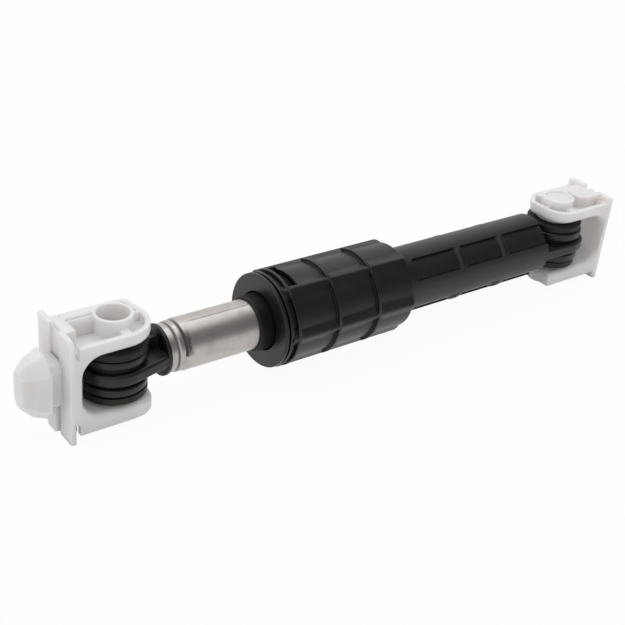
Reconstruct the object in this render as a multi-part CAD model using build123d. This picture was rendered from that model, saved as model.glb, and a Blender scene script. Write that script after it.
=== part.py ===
from build123d import *
import os
from math import acos, atan2, cos, radians, sin, sqrt

# Friction damper of a washing machine: a steel plunger tube slides in a black moulded housing,
# gripped by a floating friction unit, and each end carries a rubber bush in a white plastic clevis.
# While it is modelled, the damper's axis is X, the rod eye's pin axis is X = 0 and Z points up.

# Overall layout along the axis, at the extension of the photograph
eye_spacing = 227.6
sleeve_front_x = 65.0
sleeve_length = 62.0
housing_neck_length = 16.6
end_wall = 6.0

# Steel plunger tube
plunger_r = 10.0
plunger_wall = 1.25
plunger_start_x = 19.1
plunger_end_x = 140.0
crimp_ring_drop = 0.65
crimp_ridge_drop = 0.25
crimp_groove_drop = 1.0
crimp_groove_offsets = (3.0, 6.0)
crimp_groove_width = 0.7
seam_width = 0.25
seam_depth = 0.06
seam_angle = 100.0

# Running clearances
plunger_clearance = 0.08
lining_clearance = 0.03
pin_clearance = 0.05
guide_clearance = 0.08
seat_gap = 0.05
pad_gap = 0.15

# Friction unit
collar_reach = 5.9
collar_wall = 1.1
collar_edge = 0.4
lining_thickness = 3.32
carrier_length = 39.7
carrier_flange = 3.0
carrier_wall = 1.2
carrier_step = 0.4
carrier_clearance = 0.3
web_half_angle = 7.0
lining_count = 3
first_lining_angle = 90.0
lining_side_play = 1.0
front_buffer_thickness = 2.85
front_buffer_play = 0.2
rear_buffer_thickness = 2.6
rear_buffer_play = 0.6
buffer_gap = 0.3

# Front cap
cap_gap = 0.9
cap_setback = 0.05
cap_thickness = 1.4
cap_hole_r = 11.6
cap_edge = 0.35
skirt_wall = 1.2
skirt_play = 0.35
skirt_length = 3.9
finger_half_angle = 19.0
finger_length = 6.2
finger_tip = 0.4
hook_height = 1.25
hook_length = 2.6
hook_crest = 0.9
hook_play = 0.15

# Front sleeve of the housing, with its ribs, rings and snap windows
sleeve_wall = 1.4
shoulder_thickness = 3.0
rib_height = 1.35
rib_count = 6
rib_crest_half_width = 0.6
rib_foot_half_width = 3.6
rib_root = 0.15
ring_width = 1.3
ring_offsets = (4.5, 24.0, 44.0)
rim_width = 1.3
rim_height = 0.9
groove_depth = 0.6
window_count = 2
window_length = 5.0
window_half_angle = 25.0
first_window_angle = 90.0

# Rear tube of the housing
rear_play = 1.6
rear_wall = 2.5
flute_count = 4
flute_depth = 1.25
flute_half_angle = 20.3
flute_offset = 7.0
first_flute_angle = 45.0
bar_offsets = (33.3, 58.3)
bar_width = 4.4
bar_rise = 0.15

# Eyes and their bushes
eye_half_height = 7.1
eye_bore_r = 9.2
eye_edge = 0.4
web_thickness = 2.4
rod_lip_r = 12.4
rod_lip_low_z = 4.2
rod_waist_r = 10.8
rod_plate_rim_r = 13.5
rod_plate_half_z = 2.35
rod_plate_end_y = 9.5
housing_lip_r = 13.0
housing_lip_low_z = 3.5
housing_waist_r = 11.6
housing_plate_rim_r = 14.4
housing_plate_half_z = 2.5
plate_rim_round = 1.2
plate_end_inset = 0.3
bush_flange_r = 12.4
bush_flange_edge = 0.5
bush_half_height = 10.45
bush_groove = 0.4
bush_groove_depth = 1.1
bush_sleeve_wall = 0.95

# Rod eye's flange and plug
rod_flange_r = 9.9
rod_flange_thickness = 1.65
rod_flange_edge = 0.6
plug_length = 26.0
plug_core_r = 5.0
plug_core_offset = 4.0

# Plunger's inner end
plug_head = 1.4
spigot_r = 8.0
guide_ring_length = 6.4
guide_ring_play = 0.3
guide_ring_slit = 1.0
end_plug_length = 12.0

# Clevis brackets, both ends
arm_inner_z = 11.9
arm_outer_z = 17.6
arm_half_width = 12.3
arm_edge_r = 2.7
corner_r = 7.5
crest_half_width = 7.0
pad_r = 8.4
pad_foot_r = 9.6
stub_r = 6.6
stub_wall = 1.3
stub_gap = 1.2
boss_r = 7.3
boss_hole_r = 5.9
boss_hole_floor = 1.1
pocket_depth = 3.4
pocket_rim = 2.0
bridge_half_width = 1.9
end_rib_width = 1.3
end_rib_y = 1.5
shelf_start_y = 0.9
free_corner_round = 3.0
plate_half_width = 12.4

# Rod bracket
rod_crest_z = 20.9
rod_arm_reach = 13.0
rod_near_flat = 0.3
rod_lower_near_r = 9.5
rod_end_slant = 1.6
rod_wall_x = 17.2
rod_plate_x = 22.5
rod_plate_thickness = 1.8
rod_plate_corner_r = 4.0
rod_block_end_x = 16.8
rod_block_half_width = 5.4
slot_width = 1.8
slot_root_z = 13.0
tray_wall = 0.7
tray_width = 1.6
tray_depth = 1.3
channel_half_width = 3.7
channel_depth = 0.9
dip_r = 4.5
dip_depth = 2.0
lug_height = 1.6
lug_half_width = 3.0
lug_setback = 1.0

# Locking peg on the rod bracket
peg_stem_length = 4.9
peg_stem_half_y = 6.2
peg_stem_half_z = 9.0
peg_stem_chamfer = 2.5
peg_head_length = 8.8
peg_sections = ((0.0, 8.9, 12.9, 5.6), (4.6, 7.3, 11.2, 4.8), (8.8, 3.3, 7.3, 2.3))
peg_edge_r = 1.0

# Housing bracket
housing_crest_z = 20.6
housing_arm_reach = 10.6
housing_near_r = 10.0
housing_far_cut = 6.0
housing_wall_x = 21.5
housing_plate_x = 23.9
recess_r = 6.0
recess_depth = 0.8
round_block_r = 6.2
round_block_x = 15.8
round_block_drop = 0.8
plate_top_z = 19.8
tab_start_y = 3.5
tab_height = 0.9
tab_thickness = 3.0
notch_width = 2.5
notch_depth = 1.5
step_width = 4.6
step_depth = 0.9
step_start = 1.6

# Radii of the friction unit, the cap and the sleeve around it, from the plunger outwards
plunger_bore_r = plunger_r - plunger_wall
carrier_bore_r = plunger_r + plunger_clearance
lining_bore_r = plunger_r + lining_clearance
lining_outer_r = lining_bore_r + lining_thickness
carrier_body_r = lining_outer_r + seat_gap + carrier_wall
carrier_front_r = carrier_body_r + carrier_step
skirt_inner_r = carrier_front_r + skirt_play
skirt_r = skirt_inner_r + skirt_wall
sleeve_bore_r = skirt_r + seat_gap
sleeve_r = sleeve_bore_r + sleeve_wall
rib_crest_r = sleeve_r + rib_height
rim_r = sleeve_r + rim_height
groove_r = sleeve_r - groove_depth
cap_r = rim_r - cap_setback

# Radii of the rear tube and the guide ring in it
rear_bore_r = plunger_r + rear_play
rear_tube_r = rear_bore_r + rear_wall
flute_r = rear_tube_r - flute_depth
guide_ring_r = rear_bore_r - guide_clearance

# Radii and heights at the pins
sleeve_tube_r = stub_r + pin_clearance
bush_bore_r = sleeve_tube_r + bush_sleeve_wall
pad_z = bush_half_height + pad_gap

# Places along the axis
sleeve_end_x = sleeve_front_x + sleeve_length
shoulder_x = sleeve_end_x - shoulder_thickness
tube_end_x = eye_spacing - housing_neck_length
bore_end_x = tube_end_x - end_wall
cap_back_x = sleeve_front_x - cap_gap
cap_face_x = cap_back_x - cap_thickness
collar_front_x = cap_face_x - collar_reach
carrier_front_x = cap_back_x + seat_gap + front_buffer_thickness + buffer_gap
carrier_rear_x = carrier_front_x + carrier_length
carrier_split_x = carrier_front_x + carrier_length / 2
ring_ends_x = [sleeve_front_x + offset for offset in ring_offsets]
window_start_x = ring_ends_x[0]
overall_min_x = -(rod_plate_x + peg_stem_length + peg_head_length)
overall_max_x = eye_spacing + housing_plate_x
rest_z = rod_crest_z

# How far a piece is sunk into, or a cut runs past, what it meets, so that they join cleanly
sink = 0.5
past = 1.0


def turned(points):
    """A solid of revolution about X from (x, radius) points."""
    outline = make_face(Polyline(*points, close=True))
    return revolve(outline, axis=Axis.X)


def ring(x0, x1, inner, outer):
    """A plain ring about X from x0 to x1."""
    return turned([(x0, inner), (x1, inner), (x1, outer), (x0, outer)])


def turned_z(points):
    """A solid of revolution about the pin axis from (radius, z) points."""
    outline = make_face(Polyline(*[(r, 0, z) for r, z in points], close=True))
    return revolve(outline, axis=Axis.Z)


def block(x0, x1, y0, y1, z0, z1):
    """A box between two corners."""
    centre = ((x0 + x1) / 2, (y0 + y1) / 2, (z0 + z1) / 2)
    return Pos(*centre) * Box(x1 - x0, y1 - y0, z1 - z0)


def disc_z(radius, z0, z1, x=0.0):
    """A round bar along the pin axis at a given x."""
    return Pos(x, 0, (z0 + z1) / 2) * Cylinder(radius, z1 - z0)


def sector(x0, x1, inner, outer, angle, half_angle):
    """Part of a ring about X, centred on an angle from +Y towards +Z."""
    piece = ring(x0, x1, inner, outer)
    reach = 2 * outer
    corner = (reach * cos(radians(half_angle)), reach * sin(radians(half_angle)))
    outline = Polyline((0, 0), corner, (reach, 0), (corner[0], -corner[1]), close=True)
    wedge_face = Plane.YZ * make_face(outline)
    wedge = Pos(x0 - past, 0, 0) * extrude(wedge_face, x1 - x0 + 2 * past)
    return Rot(angle, 0, 0) * (piece & wedge)


def around(count, first_angle):
    """Evenly spaced angles about the axis."""
    return [first_angle + 360 / count * i for i in range(count)]


def rod_outline(inset, upper):
    """Plan outline of one of the rod bracket's arms; inset shrinks it towards its pockets."""
    near_r = arm_half_width - rod_near_flat if upper else rod_lower_near_r
    near = [((rod_arm_reach, -arm_half_width), near_r)]
    far = [((rod_arm_reach - rod_end_slant, arm_half_width), free_corner_round)]
    return arm_outline(rod_plate_x, near + [((rod_arm_reach, 0), 0)] + far, inset)


def housing_outline(inset, upper):
    """Plan outline of one of the housing bracket's arms, its root towards -X; the lower is square."""
    near_r = housing_near_r if upper else 0
    reach = housing_arm_reach
    far = [((reach - housing_far_cut, -arm_half_width), free_corner_round),
           ((reach, housing_far_cut - arm_half_width), free_corner_round)]
    return arm_outline(housing_plate_x, far + [((reach, arm_half_width), near_r)], inset)


def arm_outline(root, corners, inset):
    """An arm seen along the pin: a strip from its root to its free corners, each with its own radius."""
    points = [(-root, -arm_half_width)] + [point for point, _ in corners] + [(-root, arm_half_width)]
    outline = make_face(Polyline(*points, close=True))
    for (x, y), radius in corners:
        if radius > 0:
            outline = fillet(outline.vertices().sort_by_distance((x, y, 0))[0], radius)
    return offset(outline, -inset) if inset else outline


def clevis(outline, wall_x, plate_x):
    """The C-shaped body of a bracket, with all inner edges of its opening rounded."""
    body = extrude(outline(0, True), arm_outer_z) + extrude(outline(0, False), -arm_outer_z)
    opening = block(-wall_x, plate_x, -2 * arm_half_width, 2 * arm_half_width, -arm_inner_z, arm_inner_z)
    corners = opening.edges().filter_by(Axis.Y).group_by(Axis.X)[0]
    body -= fillet(corners, corner_r)
    near = -wall_x - arm_edge_r / 2
    edges = body.edges().filter_by(lambda edge: abs(edge.center().Z) < arm_inner_z + arm_edge_r / 2)
    return fillet(edges.filter_by(lambda edge: edge.center().X > near), arm_edge_r)


def bearing_pad():
    """The low cone under the upper arm that bears on the bush's sleeve, and the upper half of the pivot."""
    foot_z = arm_inner_z + sink / 2
    cone = turned_z([(0, pad_z), (pad_r, pad_z), (pad_foot_r, foot_z), (0, foot_z)])
    return cone + disc_z(stub_r, stub_gap / 2, pad_z + sink)


def arm_bridges(reach):
    """Solid parts beside the boss, level with the arm's rim, that divide its pockets."""
    span = arm_half_width - pocket_rim / 2
    root_z = arm_outer_z - pocket_depth - sink
    cross = block(-bridge_half_width, bridge_half_width, -span, span, root_z, arm_outer_z)
    low_y = end_rib_y - end_rib_width / 2
    return cross + block(0, reach - pocket_rim / 2, low_y, low_y + end_rib_width, root_z, arm_outer_z)


def arm_pockets(outline, start_x, crest):
    """Pockets beside the crests of both arms, open outwards, inside each arm's rim."""
    floor_z = arm_outer_z - pocket_depth
    room = block(start_x, 2 * arm_half_width, -arm_half_width, arm_half_width, floor_z, 2 * arm_outer_z)
    upper = Pos(0, 0, floor_z) * extrude(outline(pocket_rim, True), arm_outer_z) & room
    lower = Pos(0, 0, floor_z) * extrude(outline(pocket_rim, False), arm_outer_z) & room
    return (upper - crest) + mirror(lower - crest, about=Plane.XY)


def rod_crest():
    """Raised parts of the rod bracket's upper arm: root block, shelf with its narrow tray, and boss."""
    root_x = -rod_plate_x + rod_plate_thickness
    crest = block(root_x, -rod_block_end_x, -rod_block_half_width, rod_block_half_width, arm_inner_z,
                  rod_crest_z)
    crest += block(-rod_block_end_x - sink, 0, shelf_start_y, crest_half_width, arm_inner_z, rod_crest_z)
    tray_y = shelf_start_y + tray_wall
    tray = block(-rod_block_end_x, -boss_r + past, tray_y, tray_y + tray_width, rod_crest_z - tray_depth,
                 rod_crest_z + past)
    crest -= tray
    return crest + disc_z(boss_r, arm_inner_z, rod_crest_z) + arm_bridges(rod_arm_reach)


def rod_plate():
    """Thin base plate of the rod bracket, with a round dip and a channel for the locking peg's lug."""
    x0 = -rod_plate_x
    plate = block(x0, x0 + rod_plate_thickness, -plate_half_width, plate_half_width, -rod_crest_z,
                  rod_crest_z)
    near_top_corner = plate.edges().filter_by(Axis.X).group_by(Axis.Y)[0].sort_by(Axis.Z)[-1]
    plate = fillet(near_top_corner, rod_plate_corner_r)
    dip_place = Pos(x0, 0, rod_crest_z + dip_r - dip_depth)
    dip = dip_place * Rot(0, 90, 0) * Cylinder(dip_r, 2 * rod_plate_thickness)
    channel = block(x0 - past, x0 + channel_depth, -channel_half_width, channel_half_width,
                    -rod_crest_z - past,
                    rod_crest_z + past)
    lug = block(x0 - lug_height, x0 + channel_depth + sink / 2, -lug_half_width, lug_half_width,
                -rod_crest_z + lug_setback, -peg_stem_half_z)
    return plate - dip - channel + lug


def rod_slots():
    """Slots between the base plate and both arms, on either side of the root block."""
    x0 = -rod_plate_x + rod_plate_thickness
    slots = []
    for side in (-1, 1):
        y0, y1 = sorted((side * rod_block_half_width, side * (plate_half_width + past)))
        slot = block(x0, x0 + slot_width, y0, y1, slot_root_z, rod_crest_z + past)
        slots += [slot, mirror(slot, about=Plane.XY)]
    return slots


def stub_bore(top_z, hole_r, hole_floor_z):
    """Round hole over the pin: wide in the boss, narrower down the stub."""
    hole = disc_z(hole_r, hole_floor_z, top_z + past)
    return hole + disc_z(stub_r - stub_wall, stub_gap / 2 + stub_wall, top_z)


def locking_peg():
    """The eight-sided peg that turns into a slot of the machine's base, narrowing towards its tip."""
    head_x = -rod_plate_x - peg_stem_length
    stem = block(head_x - past, -rod_plate_x + sink, -peg_stem_half_y, peg_stem_half_y, -peg_stem_half_z,
                 peg_stem_half_z)
    stem = chamfer(stem.edges().filter_by(Axis.X), peg_stem_chamfer)
    sections = []
    for depth, half_y, half_z, corner in peg_sections:
        outline = chamfer(Rectangle(2 * half_y, 2 * half_z).vertices(), corner)
        sections.append(Plane.YZ.offset(head_x - depth) * outline)
    head = loft(sections, ruled=True)
    back = head.edges().group_by(Axis.X)[-1]
    return stem + fillet(head.edges() - back, peg_edge_r)


def rod_bracket():
    """White clevis at the rod end, with a thin base plate and a locking peg."""
    body = clevis(rod_outline, rod_wall_x, rod_plate_x)
    crest = rod_crest()
    upper = crest + bearing_pad()
    body += upper + mirror(upper, about=Plane.XY)
    body -= arm_pockets(rod_outline, -rod_plate_x + rod_plate_thickness, crest)
    for slot in rod_slots():
        body -= slot
    body -= block(-rod_plate_x - past, -rod_plate_x + rod_plate_thickness / 2, -arm_half_width - past,
                  arm_half_width + past, -rod_crest_z - past, rod_crest_z + past)
    body += rod_plate()
    bore = stub_bore(rod_crest_z, boss_hole_r, arm_inner_z + boss_hole_floor)
    return body - bore - mirror(bore, about=Plane.XY) + locking_peg()


def housing_crest():
    """Raised parts of the housing bracket's upper arm: the boss, a round block and a long far shelf."""
    crest = disc_z(boss_r, arm_inner_z, housing_crest_z) + arm_bridges(housing_arm_reach)
    top_z = housing_crest_z - round_block_drop
    crest += disc_z(round_block_r, arm_inner_z, top_z, -round_block_x)
    crest += block(-housing_plate_x, -round_block_x, -round_block_r, round_block_r, arm_inner_z, top_z)
    shelf_end_y = -shelf_start_y - tray_width
    return crest + block(-housing_plate_x, 0, -crest_half_width, shelf_end_y, arm_inner_z, top_z)


def plate_notches():
    """Cuts in the upper edge of the housing bracket's plate, beside its tab."""
    x0 = -housing_plate_x - past
    step_y = notch_width - tab_start_y
    top_z = housing_crest_z + past
    notch = block(x0, -housing_wall_x, -tab_start_y, step_y, plate_top_z - notch_depth, top_z)
    return notch + block(x0, -housing_wall_x, step_y + step_start, step_y + step_width,
                         plate_top_z - step_depth, top_z)


def housing_bracket():
    """White clevis at the housing end, with a slide-in plate, a tab and notches."""
    body = clevis(housing_outline, housing_wall_x, housing_plate_x)
    crest = housing_crest()
    upper = crest + bearing_pad() - disc_z(recess_r, housing_crest_z - recess_depth, housing_crest_z + past)
    body -= arm_pockets(housing_outline, -housing_wall_x + pocket_rim, crest)
    body += upper + mirror(upper, about=Plane.XY)
    x0 = -housing_plate_x
    body += block(x0, -housing_wall_x, -plate_half_width, plate_half_width, -rest_z, plate_top_z)
    body += block(x0, x0 + tab_thickness, -plate_half_width, -tab_start_y, arm_inner_z,
                  plate_top_z + tab_height)
    return Pos(eye_spacing, 0, 0) * Rot(0, 0, 180) * (body - plate_notches())


def both_ways(points):
    """(radius, z) points of an outline's upper half, continued by their mirror image below."""
    return points + [(r, -z) for r, z in reversed(points)]


def eye_ring(lip_r, lip_low_z, waist_r):
    """The eye's ring about the pin axis: an upper and a lower lip with a waist between them."""
    return turned_z(both_ways([
        (eye_bore_r, eye_half_height), (lip_r - eye_edge, eye_half_height),
        (lip_r, eye_half_height - eye_edge), (lip_r, lip_low_z + eye_edge),
        (lip_r - eye_edge, lip_low_z), (waist_r, lip_low_z - eye_edge),
    ]))


def eye_plate(rim_r, half_z, end_x, end_y):
    """The level plate about an eye, whose straight sides run from its round rim into the neck's end."""
    reach = sqrt(end_x ** 2 + end_y ** 2)
    angle = atan2(end_y, end_x) + acos(rim_r / reach)
    x, y = rim_r * cos(angle), rim_r * sin(angle)
    around_eye = ThreePointArc((x, y), (-rim_r, 0), (x, -y))
    sides = Polyline((x, -y), (end_x, -end_y), (end_x, end_y), (x, y))
    plate = Pos(0, 0, -half_z) * extrude(make_face([around_eye, sides]), 2 * half_z)
    rims = [edge for edge in plate.edges()
            if abs(edge.center().Z) > half_z / 2 and edge.center().X < end_x - sink]
    return fillet(rims, plate_rim_round)


def eye(lip_r, lip_low_z, waist_r, plate, neck_length):
    """One eye with its lips, its level plate, an upright web along the neck and the bore for the bush."""
    web_z = eye_half_height - eye_edge
    body = eye_ring(lip_r, lip_low_z, waist_r) + plate
    body += block(waist_r - sink, neck_length + sink, -web_thickness / 2, web_thickness / 2, -web_z, web_z)
    return body - disc_z(eye_bore_r, -eye_half_height - past, eye_half_height + past)


def crimped(start_x, shrink):
    """Outline of the crimped tube end, made smaller by shrink, as (x, radius) points."""
    groove = plunger_r - crimp_groove_drop - shrink
    crests = (plunger_r - crimp_ridge_drop - shrink, plunger_r - shrink)
    points = [(start_x, plunger_r - crimp_ring_drop - shrink)]
    for offset_x, crest in zip(crimp_groove_offsets, crests):
        centre = plunger_start_x + offset_x
        points.append((centre - crimp_groove_width, points[-1][1]))
        points.append((centre, groove))
        points.append((centre + crimp_groove_width, crest))
    return points


def rod_eye():
    """Black end fitting of the rod: eye, neck, round flange and the plug in the tube."""
    flange_end_x = plunger_start_x - seat_gap
    flange_x = flange_end_x - rod_flange_thickness
    plate = eye_plate(rod_plate_rim_r, rod_plate_half_z, flange_x + sink, rod_plate_end_y)
    body = eye(rod_lip_r, rod_lip_low_z, rod_waist_r, plate, flange_x)
    flange = ring(flange_x, flange_end_x, 0, rod_flange_r)
    body += fillet(flange.edges().sort_by(Axis.X)[0], rod_flange_edge)
    outline = crimped(flange_end_x, plunger_wall + seat_gap)
    plug_end_x = flange_end_x + plug_length
    body += turned([(flange_end_x, 0)] + outline + [(plug_end_x, outline[-1][1]), (plug_end_x, 0)])
    return body - ring(plunger_start_x + plug_core_offset, plug_end_x, 0, plug_core_r)


def plunger_tube():
    """Rolled steel tube, crimped on the rod eye's plug, with its long seam."""
    outer = crimped(plunger_start_x, 0) + [(plunger_end_x, plunger_r)]
    inner = [(x, r - plunger_wall) for x, r in outer]
    tube = turned(outer + inner[::-1])
    seam_x = outer[-2][0] + crimp_groove_width
    seam = block(seam_x, plunger_end_x + past, plunger_r - seam_depth, plunger_r + past, -seam_width / 2,
                 seam_width / 2)
    return tube - Rot(seam_angle, 0, 0) * seam


def bush():
    """Rubber bush with a flange at each end and a fine groove under each flange."""
    body_r = eye_bore_r - seat_gap
    groove_r = bush_flange_r - bush_groove_depth
    groove_z = eye_half_height + bush_groove
    edge = bush_flange_edge
    return turned_z(both_ways([
        (bush_bore_r, bush_half_height), (bush_flange_r - edge, bush_half_height),
        (bush_flange_r, bush_half_height - edge), (bush_flange_r, groove_z + edge / 2),
        (bush_flange_r - edge / 2, groove_z), (groove_r, groove_z), (groove_r, eye_half_height),
        (body_r, eye_half_height),
    ]))


def bush_sleeve():
    """Hard inner sleeve of the bush, in which the clevis pins turn."""
    outer_r = bush_bore_r - seat_gap
    outline = [
        (sleeve_tube_r, -bush_half_height), (outer_r, -bush_half_height), (outer_r, bush_half_height),
        (sleeve_tube_r, bush_half_height),
    ]
    return turned_z(outline)


def housing_shell():
    """The turned outline of the housing: wide ribbed sleeve, shoulder and rear tube."""
    rim_end = sleeve_front_x + rim_width
    outer = [(sleeve_front_x, rim_r), (rim_end, rim_r), (rim_end, groove_r)]
    for end in ring_ends_x:
        start = end - ring_width
        outer += [(start, outer[-1][1]), (start, rib_crest_r), (end, rib_crest_r), (end, sleeve_r)]
    outer += [(sleeve_end_x, sleeve_r), (sleeve_end_x, rear_tube_r),
              (tube_end_x, rear_tube_r), (tube_end_x, 0)]
    inner = [(bore_end_x, 0), (bore_end_x, rear_bore_r), (shoulder_x, rear_bore_r),
             (shoulder_x, sleeve_bore_r), (sleeve_front_x, sleeve_bore_r)]
    return turned(outer + inner)


def housing_ribs():
    """Long ribs of the front sleeve, half a pitch off its top: a narrow crest with wide sloping flanks."""
    start_x = sleeve_front_x + rim_width - rib_root
    crest_z = sqrt(rib_crest_r ** 2 - rib_crest_half_width ** 2)
    foot_z = sqrt(sleeve_r ** 2 - rib_foot_half_width ** 2) - rib_root
    foot = rib_foot_half_width
    half = [(rib_crest_half_width, crest_z), (foot, foot_z), (foot, foot_z - rib_root)]
    points = half + [(-y, z) for y, z in reversed(half)]
    section = Plane.YZ * make_face(Polyline(*points, close=True))
    bar = Pos(start_x, 0, 0) * extrude(section, sleeve_end_x - start_x)
    bar = chamfer(bar.edges().group_by(Axis.X)[-1].sort_by(Axis.Z)[-1], rib_height / 2)
    half_pitch = 180 / rib_count
    return [Rot(angle, 0, 0) * bar for angle in around(rib_count, half_pitch)]


def housing_flutes():
    """Long channels along the rear tube, each crossed by rounded bars."""
    start_x = sleeve_end_x + flute_offset
    bar_r = bar_width / 2
    cuts = []
    for angle in around(flute_count, first_flute_angle):
        flute = sector(start_x, tube_end_x + past, flute_r, rear_tube_r + past, angle, flute_half_angle)
        for offset_x in bar_offsets:
            x = sleeve_end_x + offset_x
            flute -= Pos(x, 0, 0) * Rot(0, 90, 0) * Torus(rear_tube_r + bar_rise - bar_r, bar_r)
        cuts.append(flute)
    return cuts


def housing():
    """One moulding: sleeve with ribs and windows, fluted tube, neck and eye."""
    body = housing_shell()
    for rib in housing_ribs():
        body += rib
    for angle in around(window_count, first_window_angle):
        body -= sector(window_start_x, window_start_x + window_length, sleeve_bore_r - past,
                       rib_crest_r + past, angle, window_half_angle)
    for flute in housing_flutes():
        body -= flute
    end_y = sqrt(rear_tube_r ** 2 - housing_plate_half_z ** 2) - plate_end_inset
    plate = eye_plate(housing_plate_rim_r, housing_plate_half_z, housing_neck_length + sink, end_y)
    fitting = eye(housing_lip_r, housing_lip_low_z, housing_waist_r, plate, housing_neck_length)
    return body + Pos(eye_spacing, 0, 0) * Rot(0, 0, 180) * fitting


def cap_outline():
    """Half section of the cap with a snap finger, as (x, radius) points."""
    tip_x = cap_back_x + skirt_length + finger_length
    catch_x = window_start_x + hook_play
    return [
        (cap_face_x, cap_hole_r + cap_edge), (cap_face_x + cap_edge, cap_hole_r), (cap_back_x, cap_hole_r),
        (cap_back_x, skirt_inner_r), (tip_x, skirt_inner_r), (tip_x, skirt_r - finger_tip),
        (catch_x + hook_length, skirt_r), (catch_x + hook_crest, skirt_r + hook_height),
        (catch_x, skirt_r + hook_height), (catch_x, skirt_r), (cap_back_x, skirt_r), (cap_back_x, cap_r),
        (cap_face_x + cap_edge, cap_r), (cap_face_x, cap_r - cap_edge),
    ]


def end_cap():
    """Front cap: round face with the plunger's hole, short skirt and snap fingers."""
    cap = turned(cap_outline())
    root_x = cap_back_x + skirt_length
    gap_half_angle = 180 / window_count - finger_half_angle
    for angle in around(window_count, first_window_angle + 180 / window_count):
        cap -= sector(root_x, root_x + finger_length + past, cap_hole_r, rib_crest_r, angle, gap_half_angle)
    return cap


def carrier_pockets():
    """Pockets of the friction carrier, open to the plunger, one for each lining."""
    half_angle = 180 / lining_count - web_half_angle
    start_x = carrier_front_x + carrier_flange
    end_x = carrier_rear_x - carrier_flange
    outer = carrier_body_r - carrier_wall
    return [sector(start_x, end_x, carrier_bore_r - past, outer, angle, half_angle)
            for angle in around(lining_count, first_lining_angle)]


def carrier_front():
    """Front half of the friction carrier, with the collar that shows in the cap's hole."""
    collar_r = carrier_bore_r + collar_wall
    body = turned([
        (collar_front_x, carrier_bore_r), (carrier_split_x - seat_gap / 2, carrier_bore_r),
        (carrier_split_x - seat_gap / 2, carrier_body_r), (carrier_front_x + carrier_flange, carrier_body_r),
        (carrier_front_x + carrier_flange, carrier_front_r), (carrier_front_x, carrier_front_r),
        (carrier_front_x, collar_r), (collar_front_x + collar_edge, collar_r),
        (collar_front_x, collar_r - collar_edge),
    ])
    for pocket in carrier_pockets():
        body -= pocket
    return body


def carrier_rear():
    """Rear half of the friction carrier, with the wide guiding flange."""
    flange_x = carrier_rear_x - carrier_flange
    flange_r = sleeve_bore_r - carrier_clearance
    start_x = carrier_split_x + seat_gap / 2
    body = turned([
        (start_x, carrier_bore_r), (carrier_rear_x, carrier_bore_r), (carrier_rear_x, flange_r),
        (flange_x, flange_r), (flange_x, carrier_body_r), (start_x, carrier_body_r),
    ])
    for pocket in carrier_pockets():
        body -= pocket
    return body


def lining(angle):
    """One grease-soaked friction pad around the plunger."""
    half_angle = 180 / lining_count - web_half_angle - lining_side_play
    start_x = carrier_front_x + carrier_flange + seat_gap
    end_x = carrier_rear_x - carrier_flange - seat_gap
    return sector(start_x, end_x, lining_bore_r, lining_outer_r, angle, half_angle)


def front_buffer():
    """Soft ring behind the cap, which the friction unit meets on the way out."""
    start_x = cap_back_x + seat_gap
    end_x = start_x + front_buffer_thickness
    return ring(start_x, end_x, cap_hole_r + front_buffer_play, skirt_inner_r - seat_gap)


def rear_buffer():
    """Soft ring in front of the shoulder, which the friction unit meets on the way in."""
    end_x = shoulder_x - seat_gap
    return ring(end_x - rear_buffer_thickness, end_x, plunger_r + rear_buffer_play, sleeve_bore_r - seat_gap)


def end_plug():
    """Plug in the plunger's inner end, with the spigot that carries the guide ring."""
    spigot_start = plunger_end_x + plug_head
    spigot_end = spigot_start + guide_ring_length + guide_ring_play
    in_tube_r = plunger_bore_r - seat_gap
    return turned([
        (plunger_end_x - end_plug_length, 0), (spigot_end + plug_head, 0),
        (spigot_end + plug_head, plunger_r), (spigot_end, plunger_r),
        (spigot_end, spigot_r), (spigot_start, spigot_r), (spigot_start, plunger_r),
        (plunger_end_x + seat_gap, plunger_r), (plunger_end_x + seat_gap, in_tube_r),
        (plunger_end_x - end_plug_length, in_tube_r),
    ])


def guide_ring():
    """Split ring that guides the plunger's inner end in the rear tube."""
    start_x = plunger_end_x + plug_head + guide_ring_play / 2
    end_x = start_x + guide_ring_length
    body = ring(start_x, end_x, spigot_r + pin_clearance, guide_ring_r)
    half_slit = guide_ring_slit / 2
    return body - block(start_x - past, end_x + past, 0, rear_bore_r, -half_slit, half_slit)


nodes = {
    "housing": housing(),
    "end_cap": end_cap(),
    "front_buffer": front_buffer(),
    "rear_buffer": rear_buffer(),
    "housing_bush": Pos(eye_spacing, 0, 0) * bush(),
    "housing_bush_sleeve": Pos(eye_spacing, 0, 0) * bush_sleeve(),
    "housing_bracket": housing_bracket(),
    "friction_carrier_front": carrier_front(),
    "friction_carrier_rear": carrier_rear(),
    "guide_ring": guide_ring(),
    "plunger_tube": plunger_tube(),
    "plunger_end_plug": end_plug(),
    "rod_eye": rod_eye(),
    "rod_bush": bush(),
    "rod_bush_sleeve": bush_sleeve(),
    "rod_bracket": rod_bracket(),
}
for number, pad_angle in enumerate(around(lining_count, first_lining_angle), start=1):
    nodes[f"friction_lining_{number}"] = lining(pad_angle)

# The finished damper lies on its bracket plates, with the origin under the middle of its length
to_rest = Pos(-(overall_min_x + overall_max_x) / 2, 0, rest_z)
os.makedirs("parts", exist_ok=True)
for name, shape in nodes.items():
    export_step(to_rest * shape, f"parts/{name}.step")
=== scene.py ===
"""Looks of a washing-machine friction damper, built around its fixed frame.

The damper lies along X with its rod end at -X, and its pivot pins stand along Z.
Lengths are in metres; a size given in millimetres is multiplied by MM where it is named.
"""

import logging
import math
from collections.abc import Mapping, Sequence
from dataclasses import dataclass, field
from enum import Enum
from typing import Any, Protocol

import bmesh
import bpy
from mathutils import Matrix, Vector
from mathutils.bvhtree import BVHTree
from mathutils.kdtree import KDTree


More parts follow.
